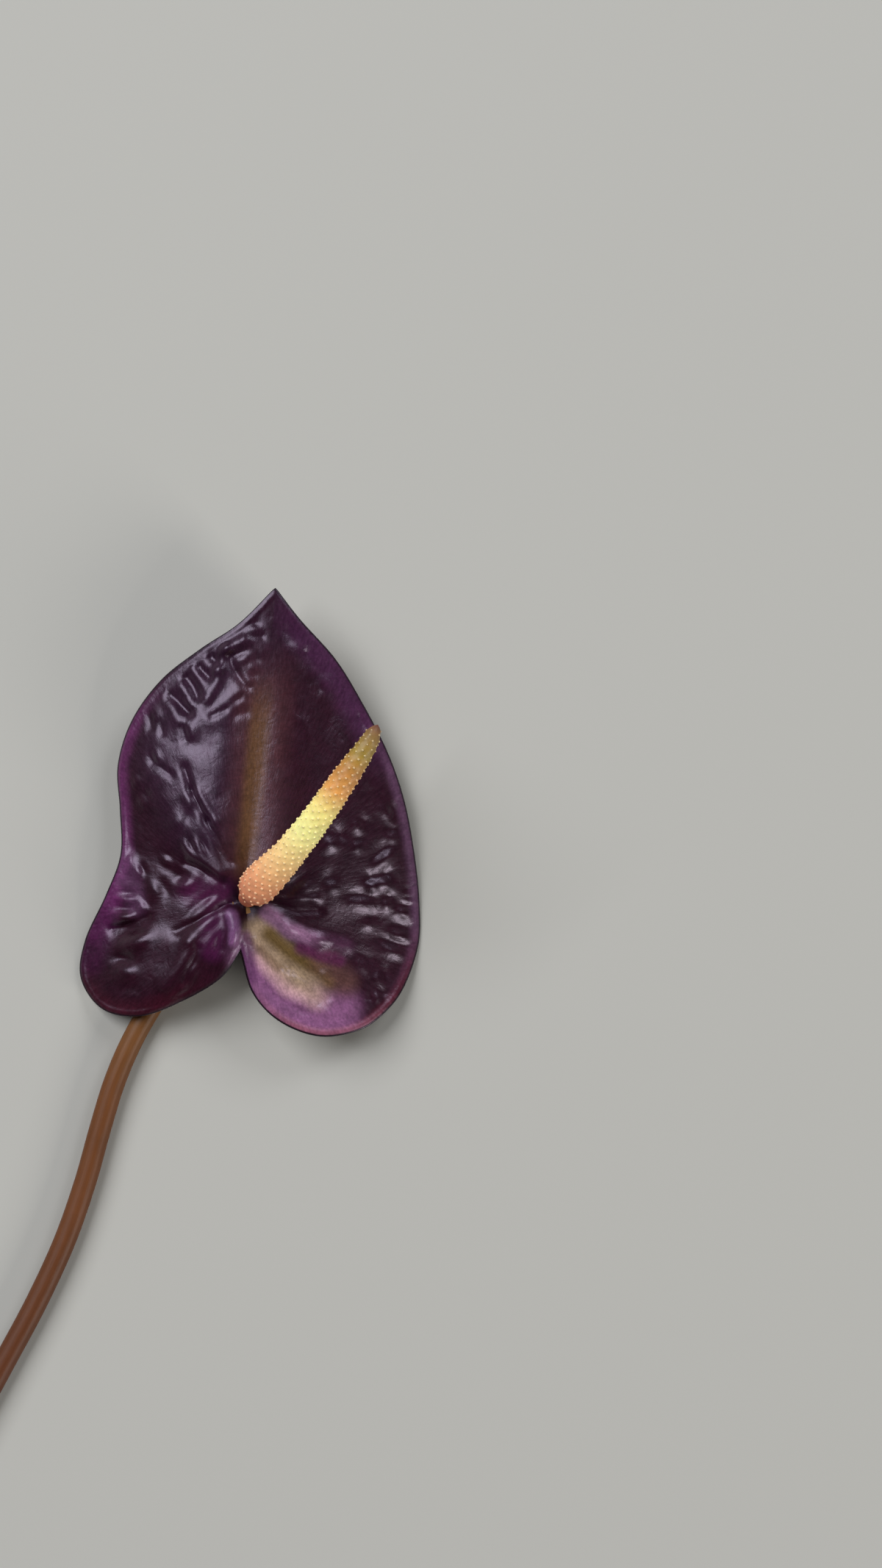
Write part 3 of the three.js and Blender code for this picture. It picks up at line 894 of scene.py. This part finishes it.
def set_inputs(modifier, **values):
    """Sets a modifier's inputs by name, finding each input's identifier first."""
    items = modifier.node_group.interface.items_tree
    sockets = {item.name.replace(" ", "_"): item.identifier for item in items}
    for label, value in values.items():
        modifier[sockets[label]] = value


def frozen_mesh(obj, name):
    """What an object's modifiers make of it, as a plain mesh of its own."""
    bpy.context.view_layer.update()
    graph = bpy.context.evaluated_depsgraph_get()
    mesh = bpy.data.meshes.new_from_object(obj.evaluated_get(graph), depsgraph=graph)
    mesh.name = name
    bpy.data.objects.remove(obj)
    return mesh


SWEEP = sweep_tree()


def sweep(name, path, radii, sides, finish):
    """A closed round form along a path, as a mesh in the model's frame, with a ring at each point."""
    curve = bpy.data.curves.new(name, "CURVE")
    curve.dimensions = "3D"
    spline = curve.splines.new("POLY")
    spline.points.add(len(path) - 1)
    for point, place, radius in zip(spline.points, to_frame(path), radii):
        point.co = (*place, 1.0)
        point.radius = radius * MM
    carrier = placed(name, curve)
    modifier = carrier.modifiers.new("sweep", "NODES")
    modifier.node_group = SWEEP
    set_inputs(modifier, Sides=sides, Finish=finish)
    mesh = frozen_mesh(carrier, name)
    mesh.polygons.foreach_set("use_smooth", [True] * len(mesh.polygons))
    if signed_volume(mesh) < 0:
        mesh.flip_normals()
    return mesh


print("sweep tree has inputs:", [item.name for item in SWEEP.interface.items_tree])

# %% [markdown]
# ## The stem
# The stalk is smooth and almost round. It comes up to the node from below in a short bend, swells slightly
# into a collar there, and lies along the table to its cut end. The cut is part of the same sweep: the last
# rings hardly move on and shrink, so the end is a flat face with a rounded lip. A path mustn't turn back on
# itself, or the rings flip over, so the pith is sunk afterwards, on the finished mesh.

# %% Path and radius of the stem
STEM_LINE = [
    (-0.1, -0.1, 17.0),
    (-0.7, -0.7, 14.4),
    (-3.8, -3.6, 10.0),
    (-9.4, -9.0, 6.0),
    (-17.4, -17.6, 3.6),
    (-24.8, -26.8, 3.1),
    (-31.6, -38.4, 3.1),
    (-36.6, -50.0, 3.1),
    (-40.6, -63.0, 3.1),
    (-44.8, -78.0, 3.1),
    (-50.6, -94.4, 3.15),
    (-58.4, -111.2, 3.15),
    (-66.6, -126.5, 3.2),
    (-76.0, -144.0, 3.2),
    (-88.0, -167.0, 3.2),
    (-99.0, -190.0, 3.2),
    (-108.5, -213.0, 3.2),
    (-116.5, -236.0, 3.2),
    (-123.5, -260.0, 3.2),
    (-129.5, -284.0, 3.2),
]
STEM_RADIUS_TOP = 2.95
STEM_RADIUS_END = 3.2
STEM_SIDES = 40
STEM_STEP = 1.4
COLLAR_SWELL = 0.45
COLLAR_LENGTH = 7.0
LIP = 0.35  # rounding of the cut end's edge
PITH_SINK = 0.3
FACE_SHARES = (0.8, 0.72, 0.4, 0.02)  # radii of the rings on the cut face, as shares of the stem's
FACE_DEPTHS = (0.0, 0.7, 0.9, 1.0)  # how deep each of them lies, as shares of the sink

stem_curve = smooth_curve(STEM_LINE, 800)
stem_rings = int(lengths_along(stem_curve)[-1] / STEM_STEP)
stem_path = evenly(stem_curve, stem_rings)
stem_along = lengths_along(stem_path)
STEM_LENGTH = stem_along[-1]
stem_radius = STEM_RADIUS_TOP + (STEM_RADIUS_END - STEM_RADIUS_TOP) * stem_along / STEM_LENGTH
stem_radius += COLLAR_SWELL * smoothstep(stem_along, COLLAR_LENGTH, 0.5)


def with_cut_end(path, radii):
    """Adds the rings of a rounded lip and a flat, slightly sunken face to the far end of a path."""
    end, radius = path[-1], radii[-1]
    outward = (path[-1] - path[-2]) / np.linalg.norm(path[-1] - path[-2])
    lip = [(LIP * math.sin(a), radius - LIP * (1 - math.cos(a))) for a in np.linspace(0.3, math.pi / 2, 5)]
    face = [(LIP + 0.01 * number, radius * share) for number, share in enumerate(FACE_SHARES, 1)]
    rings = [(end - outward * LIP + outward * out, width) for out, width in lip + face]
    trimmed = path[lengths_along(path) < lengths_along(path)[-1] - 1.5 * LIP]
    new_path = np.vstack([trimmed, [place for place, _ in rings]])
    return new_path, np.concatenate([radii[: len(trimmed)], [width for _, width in rings]])


swept_path, swept_radius = with_cut_end(stem_path, stem_radius)
print(f"stem: {STEM_LENGTH:.0f} mm long, {2 * STEM_RADIUS_TOP:.1f} to {2 * STEM_RADIUS_END:.1f} mm across")

# %% [markdown]
# ## The skin of the stem
# The stalk is ochre tan near the flower and turns a redder brown further down, with very faint lines along
# its length and a satin surface. The cut end shows pale pith with darker strands. Both are one material: the
# share of the way along the stem is stored on the mesh, and the pith is where a second stored number says so.

# %% Material of the stem
# share of the stem's length, colour
STEM_SHADES = [
    (0.0, ink(112, 80, 46)),
    (0.12, ink(114, 76, 40)),
    (0.22, ink(104, 62, 32)),
    (0.5, ink(90, 50, 30)),
    (1.0, ink(82, 46, 30)),
]
PITH_SHADES = [
    (0.0, ink(120, 96, 62)),
    (0.3, ink(196, 182, 138)),
    (1.0, ink(206, 194, 150)),
]


def stem_skin():
    """Satin stalk that changes colour along its length, with pale pith on its cut face."""
    material, tree, surface = new_finish("stem_skin")
    place = add_node(tree, "ShaderNodeTexCoord").outputs["Object"]
    lengthwise = noise_node(tree, attribute_output(tree, "around", "Vector"), 1.6, 4.0, roughness=0.6)
    blotches = noise_node(tree, place, 60.0, 5.0, roughness=0.6)
    specks = noise_node(tree, place, 1800.0, 2.0)

    uneven = arithmetic(tree, "MULTIPLY", spread(tree, blotches, 0.86, 1.12), spread(tree, lengthwise, 0.9, 1.1))
    skin = shaded(tree, shades(tree, attribute_output(tree, "along", "Fac"), STEM_SHADES), uneven)
    strands = add_node(tree, "ShaderNodeTexVoronoi", Vector=place, Scale=1300.0)
    pith = shades(tree, strands.outputs["Distance"], PITH_SHADES)
    cut = attribute_output(tree, "cut", "Fac")
    mixed = add_node(tree, "ShaderNodeMix", {"data_type": "RGBA"}, _0=cut, _6=skin, _7=pith)
    tree.links.new(mixed.outputs[2], surface.inputs["Base Color"])

    fine = bumped(tree, specks, 0.25, 0.05 * MM)
    tree.links.new(bumped(tree, lengthwise, 0.5, 0.15 * MM, fine), surface.inputs["Normal"])
    surface.inputs["Roughness"].default_value = 0.46
    surface.inputs["Specular IOR Level"].default_value = 0.2
    return material


# %% Values stored at the points of a mesh
def store_values(mesh, name, values):
    """Writes a number or a direction at every point of a mesh."""
    if values.ndim == 1:
        mesh.attributes.new(name, "FLOAT", "POINT").data.foreach_set("value", values)
    else:
        mesh.attributes.new(name, "FLOAT_VECTOR", "POINT").data.foreach_set("vector", values.ravel())


def store_rings(mesh, ring_values, sides):
    """Stores what is known of each ring on a swept mesh."""
    rings = len(mesh.vertices) // sides
    for name, values in ring_values.items():
        store_values(mesh, name, np.repeat(np.asarray(values, float)[:rings], sides))


def store_around(mesh, path, radius, sides, stretch):
    """Stores coordinates for a lengthwise grain: round the form in millimetres, and slowly along it."""
    angle = 2 * math.pi * np.arange(sides) / sides
    along = np.repeat(lengths_along(path), sides) * stretch
    circle = np.tile(np.column_stack([np.cos(angle), np.sin(angle)]) * radius, (len(path), 1))
    store_values(mesh, "around", np.column_stack([circle, along]))


# %% Build the stem
stem_mesh = sweep("stem_stalk", swept_path, swept_radius, STEM_SIDES, stem_skin())
swept_along = lengths_along(swept_path) / STEM_LENGTH
cut_rings = np.arange(len(swept_path)) >= len(swept_path) - len(FACE_SHARES)
store_rings(stem_mesh, {"along": swept_along, "cut": cut_rings}, STEM_SIDES)
inward = Vector(swept_path[-2] - swept_path[-1]).normalized()
for number, depth in enumerate(FACE_DEPTHS):
    first = (len(swept_path) - len(FACE_DEPTHS) + number) * STEM_SIDES
    for vertex in stem_mesh.vertices[first : first + STEM_SIDES]:
        vertex.co += inward * (PITH_SINK * depth * MM)
store_around(stem_mesh, swept_path, STEM_RADIUS_TOP, STEM_SIDES, stretch=0.06)

stem = placed("stem_stalk", stem_mesh)
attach(stem, "root")
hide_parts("stem")
print(f"stem dressed: {len(stem_mesh.vertices)} vertices, {len(stem_mesh.polygons)} faces")

# %% [markdown]
# ## The core of the spadix
# The spike is a bent, tapering form. It starts as a short thin stalk in the pit of the spathe, widens with a
# round shoulder, and ends in a blunt point. Its radius is drawn as a profile along its length.

# %% Path and profile of the spadix
SPADIX_LINE = [
    (0.8, 1.0, 17.0),
    (1.4, 1.7, 19.2),
    (3.3, 3.7, 23.0),
    (6.2, 6.7, 27.0),
    (11.4, 12.0, 32.0),
    (16.6, 18.2, 36.6),
    (21.2, 24.1, 40.0),
    (25.3, 29.9, 42.2),
    (29.4, 35.8, 43.8),
    (33.4, 41.6, 44.8),
    (36.4, 47.3, 45.2),
]
# share of the length, radius
SPADIX_PROFILE = [
    (0.0, 2.7),
    (0.045, 2.9),
    (0.06, 3.5),
    (0.08, 4.4),
    (0.105, 4.95),
    (0.145, 5.15),
    (0.23, 4.9),
    (0.29, 4.55),
    (0.37, 4.2),
    (0.46, 4.0),
    (0.58, 3.8),
    (0.69, 3.6),
    (0.77, 3.35),
    (0.85, 2.95),
    (0.915, 2.55),
    (0.955, 2.1),
    (0.985, 1.25),
    (1.0, 0.05),
]
SPADIX_RINGS = 260
SPADIX_SIDES = 88

spadix_path = evenly(smooth_curve(SPADIX_LINE, 1500), SPADIX_RINGS)
SPADIX_LENGTH = lengths_along(spadix_path)[-1]
profile = smooth_curve(SPADIX_PROFILE, 600)
spadix_share = np.linspace(0, 1, SPADIX_RINGS)
spadix_radius = np.interp(spadix_share, profile[:, 0], profile[:, 1])
print(f"spadix: {SPADIX_LENGTH:.0f} mm along its curve, {2 * spadix_radius.max():.1f} mm across at most")

# %% [markdown]
# ## Where the florets sit
# A spadix is a packed crowd of tiny florets, set in crossing spirals. One rule gives that pattern: each
# floret is turned by the golden angle from the one before it, and moved on by the length that keeps the area
# for each the same. The skin puffs up a little round every floret.

# %% Floret places from the golden angle
FLORET_PITCH = 1.95
FLORET_START = 0.07  # share of the length where the first florets grow
FLORET_PUSH = 0.2  # how far a floret strays from its place
PUFF_HEIGHT = 0.12
PUFF_REACH = 0.62  # how far a puff reaches, as a share of the pitch
GOLDEN_ANGLE = math.pi * (3 - math.sqrt(5))


def path_frames(path):
    """A tangent and two sideways directions at each point of a path, turning as little as possible."""
    tangent = np.gradient(path, axis=0)
    tangent /= np.linalg.norm(tangent, axis=1, keepdims=True)
    side = np.cross(tangent[0], (0, 0, 1.0))
    sides = []
    for direction in tangent:
        side = side - direction * (side @ direction)
        side = side / np.linalg.norm(side)
        sides.append(side)
    sides = np.array(sides)
    return tangent, sides, np.cross(tangent, sides)


def floret_places():
    """Share along the spadix and angle round it for every floret."""
    area_each = 0.866 * FLORET_PITCH**2
    skin_area = np.cumsum(2 * math.pi * spadix_radius) * SPADIX_LENGTH / SPADIX_RINGS
    first = np.interp(FLORET_START, spadix_share, skin_area)
    count = int((skin_area[-1] - first) / area_each)
    share = np.interp(first + area_each * np.arange(count), skin_area, spadix_share)
    source = np.random.default_rng(2)
    push = source.normal(0, FLORET_PUSH, (2, count))
    angle = GOLDEN_ANGLE * np.arange(count) + push[1] / np.interp(share, spadix_share, spadix_radius)
    return share + push[0] / SPADIX_LENGTH, angle


tangents, side_ways, up_ways = path_frames(spadix_path)
floret_share, floret_angle = floret_places()


def on_rings(values, share):
    """Values known on the rings, read at any share of the length."""
    return np.column_stack([np.interp(share, spadix_share, column) for column in values.T])


outward = on_rings(side_ways, floret_share) * np.cos(floret_angle)[:, None]
outward += on_rings(up_ways, floret_share) * np.sin(floret_angle)[:, None]
shrink = np.gradient(spadix_radius, spadix_share * SPADIX_LENGTH)
lean = np.interp(floret_share, spadix_share, shrink)[:, None]
floret_normal = outward - lean * on_rings(tangents, floret_share)
floret_normal /= np.linalg.norm(floret_normal, axis=1, keepdims=True)
floret_radius = np.interp(floret_share, spadix_share, spadix_radius)[:, None]
floret_point = on_rings(spadix_path, floret_share) + outward * floret_radius
print(f"{len(floret_share)} florets")

# %% [markdown]
# ## Florets made by nodes
# A floret shows as a pale bead on the skin. Geometry Nodes set one small bead on every place, turned
# outwards, with sizes that vary a little. Its tree takes the bead's width, height, variation and seed, and it
# ends by making the copies real and giving them their finish.

# %% The tree that sets beads on points
def stored_value(tree, name, kind):
    """What is stored under a name at each point, read inside a Geometry Nodes tree."""
    node = add_node(tree, "GeometryNodeInputNamedAttribute", {"data_type": kind}, Name=name)
    return node.outputs[0]


def bead_tree():
    """Sets a flattened bead on every point, turned along the stored outward direction."""
    tree, given, result = new_tree(
        "beads_on_spadix",
        [
            ("Bead Width", "NodeSocketFloat", 0.001),
            ("Bead Height", "NodeSocketFloat", 0.0005),
            ("Size Variation", "NodeSocketFloat", 0.15),
            ("Seed", "NodeSocketInt", 1),
            ("Finish", "NodeSocketMaterial", None),
        ],
    )
    width = given.outputs["Bead Width"]
    variation = given.outputs["Size Variation"]
    ball = add_node(tree, "GeometryNodeMeshIcoSphere", Radius=0.5, Subdivisions=2)
    size = add_node(tree, "ShaderNodeCombineXYZ", X=width, Y=width, Z=given.outputs["Bead Height"])
    bead = add_node(tree, "GeometryNodeTransform", Geometry=ball.outputs[0], Scale=size.outputs[0])
    smooth = add_node(tree, "GeometryNodeSetShadeSmooth", Geometry=bead.outputs[0])
    outward_read = stored_value(tree, "outward", "FLOAT_VECTOR")
    turned = add_node(tree, "FunctionNodeAlignRotationToVector", {"axis": "Z"}, Vector=outward_read)
    varied = add_node(
        tree,
        "FunctionNodeRandomValue",
        {"data_type": "FLOAT"},
        _2=arithmetic(tree, "SUBTRACT", 1.0, variation),
        _3=arithmetic(tree, "ADD", 1.0, variation),
        Seed=given.outputs["Seed"],
    )
    scale = arithmetic(tree, "MULTIPLY", varied.outputs[1], stored_value(tree, "bead_size", "FLOAT"))
    copies = add_node(
        tree,
        "GeometryNodeInstanceOnPoints",
        Points=given.outputs["Geometry"],
        Instance=smooth.outputs[0],
        Rotation=turned.outputs[0],
        Scale=scale,
    )
    real = add_node(tree, "GeometryNodeRealizeInstances", Geometry=copies.outputs[0])
    finish = add_node(
        tree, "GeometryNodeSetMaterial", Geometry=real.outputs[0], Material=given.outputs["Finish"]
    )
    tree.links.new(finish.outputs[0], result.inputs[0])
    return tree


BEADS = bead_tree()
print("bead tree has inputs:", [item.name for item in BEADS.interface.items_tree])

# %% [markdown]
# ## The colours of the spadix
# It ripens from its base, and its colour tells how far: salmon at the base, then cream yellow, a band of
# orange tan, olive, and a brown tip. The salmon at the very base is darkened further as painted shade, where
# the spadix stands in the pit. The beads follow the same run of colour, only paler.

# %% Materials of the core and of the beads
RIPENING_AND_FOOT_SHADE = [
    # the first two stops: salmon, darkened by painted shade at the foot in the pit of the spathe
    (0.06, (184, 104, 76)),
    (0.13, (218, 140, 102)),
    (0.2, (238, 164, 116)),
    (0.36, (252, 212, 142)),
    (0.5, (255, 248, 160)),
    (0.6, (250, 230, 138)),
    (0.7, (220, 154, 78)),
    (0.79, (184, 126, 58)),
    (0.87, (154, 126, 46)),
    (0.95, (136, 104, 52)),
    (1.0, (104, 56, 46)),
]
BEAD_CREAM = (255, 232, 184)


def spadix_skin(name, paleness, roughness):
    """Soft skin in the ripening colours and painted foot shade, mixed towards cream by paleness."""
    material, tree, surface = new_finish(name)
    place = add_node(tree, "ShaderNodeTexCoord").outputs["Object"]
    cream = ink(*BEAD_CREAM)
    stops = [(at, ink(*colour) * (1 - paleness) + cream * paleness) for at, colour in RIPENING_AND_FOOT_SHADE]
    shade = shades(tree, attribute_output(tree, "along", "Fac"), stops)
    blush = noise_node(tree, place, 420.0, 4.0, roughness=0.6)
    tree.links.new(shaded(tree, shade, spread(tree, blush, 0.86, 1.12)), surface.inputs["Base Color"])
    grain = noise_node(tree, place, 2600.0, 2.0)
    tree.links.new(bumped(tree, grain, 0.35, 0.06 * MM), surface.inputs["Normal"])
    surface.inputs["Roughness"].default_value = roughness
    surface.inputs["Subsurface Weight"].default_value = 0.12
    surface.inputs["Subsurface Radius"].default_value = (1.0, 0.6, 0.3)
    surface.inputs["Subsurface Scale"].default_value = 0.6 * MM
    return material


# %% Build the core, with its skin puffed up round each floret
core_finish = spadix_skin("spadix_skin", paleness=0.0, roughness=0.5)
spadix_mesh = sweep("spadix_core", spadix_path, spadix_radius, SPADIX_SIDES, core_finish)
floret_tree = kdtree.KDTree(len(floret_point))
for number, point in enumerate(to_frame(floret_point)):
    floret_tree.insert(point, number)
floret_tree.balance()
ring_centres = np.repeat(to_frame(spadix_path), SPADIX_SIDES, axis=0)
ring_shares = np.repeat(spadix_share, SPADIX_SIDES)
for vertex, centre, share in zip(spadix_mesh.vertices, ring_centres, ring_shares):
    if FLORET_START < share < 0.99:
        distance = floret_tree.find(vertex.co)[2] / MM
        puff = PUFF_HEIGHT * (math.cos(min(distance / (PUFF_REACH * FLORET_PITCH), 1.0) * math.pi) * 0.5)
        away = (vertex.co - Vector(centre)).normalized()
        vertex.co += away * puff * MM
store_rings(spadix_mesh, {"along": spadix_share}, SPADIX_SIDES)
spadix_core = placed("spadix_core", spadix_mesh)
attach(spadix_core, "root")
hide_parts("spadix")
print(f"spadix core: {len(spadix_mesh.polygons)} faces")

# %% Set the beads
BEAD_LIFT = 0.05  # how far a bead's middle lies above the skin
bead_size = np.interp(floret_share, [FLORET_START, 0.12, 0.8, 1.0], [0.75, 1.0, 0.9, 0.7])

bead_points = bpy.data.meshes.new("bead_places")
bead_points.from_pydata(to_frame(floret_point + floret_normal * BEAD_LIFT).tolist(), [], [])
store_values(bead_points, "outward", floret_normal)
store_values(bead_points, "bead_size", bead_size)
store_values(bead_points, "along", floret_share)
bead_carrier = placed("bead_places", bead_points)
bead_modifier = bead_carrier.modifiers.new("beads", "NODES")
bead_modifier.node_group = BEADS
set_inputs(
    bead_modifier,
    Bead_Width=0.76 * MM,
    Bead_Height=0.7 * MM,
    Size_Variation=0.16,
    Seed=5,
    Finish=spadix_skin("spadix_beads", paleness=0.36, roughness=0.4),
)
bead_mesh = frozen_mesh(bead_carrier, "spadix_florets")
florets = placed("spadix_florets", bead_mesh)
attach(florets, "root")
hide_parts("spadix")
print(f"florets: {len(bead_mesh.polygons)} faces, attributes {[a.name for a in bead_mesh.attributes]}")

# %% [markdown]
# ## Table, light and camera
# The flower lies on a plain pale table, and the camera looks straight down on it. Waxy dark petals show
# almost only what they mirror, so each panel is placed for its reflection: a large soft window at the upper
# left, a smaller skylight at the upper right, and a weak reflector low at the lower right for the spadix.

# %% The table
def floor_finish():
    """Plain warm grey, quite matt."""
    material, _, surface = new_finish("table")
    surface.inputs["Base Color"].default_value = (0.44, 0.435, 0.405, 1.0)
    surface.inputs["Roughness"].default_value = 0.9
    surface.inputs["Specular IOR Level"].default_value = 0.1
    return material


TABLE_SIZE = 6.0
table_mesh = bpy.data.meshes.new("table")
half = TABLE_SIZE / 2
corners = [(-half, -half, 0), (half, -half, 0), (half, half, 0), (-half, half, 0)]
table_mesh.from_pydata(corners, [], [(0, 1, 2, 3)])
table_mesh.materials.append(floor_finish())
table = placed("table", table_mesh)

# %% The light
FLOWER_CENTRE = Vector(to_frame([[5.0, 20.0, 15.0]])[0])


def soft_panel(name, direction, distance, width, height, power, colour):
    """A rectangular light that faces the flower from a direction."""
    light = bpy.data.lights.new(name, "AREA")
    light.shape = "RECTANGLE"
    light.size = width
    light.size_y = height
    light.energy = power
    light.color = colour
    panel = placed(name, light)
    panel.location = FLOWER_CENTRE + Vector(direction).normalized() * distance
    panel.rotation_euler = (FLOWER_CENTRE - panel.location).to_track_quat("-Z", "Y").to_euler()


soft_panel("window", (-0.56, 0.46, 0.84), 3.0, 2.0, 2.0, 96.0, (0.96, 0.97, 1.0))
soft_panel("skylight", (0.58, 0.62, 0.6), 3.0, 1.0, 1.0, 26.0, (0.94, 0.96, 1.0))
soft_panel("reflector", (0.75, -0.55, 0.42), 2.5, 0.8, 0.8, 30.0, (1.0, 0.97, 0.92))

world = bpy.data.worlds.new("room")
world.use_nodes = True
world.node_tree.nodes["Background"].inputs["Color"].default_value = (0.93, 0.94, 1.0, 1.0)
world.node_tree.nodes["Background"].inputs["Strength"].default_value = 0.05
bpy.context.scene.world = world

# %% The camera
VIEW_HEIGHT = 426.6  # how much of the table the picture shows from top to bottom, in mm
VIEW_CENTRE = (53.0, 31.7)  # what the camera looks at, in plan from the node
CAMERA_DISTANCE = 1000.0
PETAL_LEVEL = 12.0

lens = bpy.data.cameras.new("camera")
lens.sensor_width = 36.0
lens.lens = 36.0 * CAMERA_DISTANCE / VIEW_HEIGHT
lens.clip_end = 20.0
camera = placed("camera", lens)
camera.location = to_frame([[*VIEW_CENTRE, PETAL_LEVEL + CAMERA_DISTANCE]])[0]
bpy.context.scene.camera = camera
bpy.context.scene.view_settings.view_transform = "Standard"
print(f"lens: {lens.lens:.1f} mm")
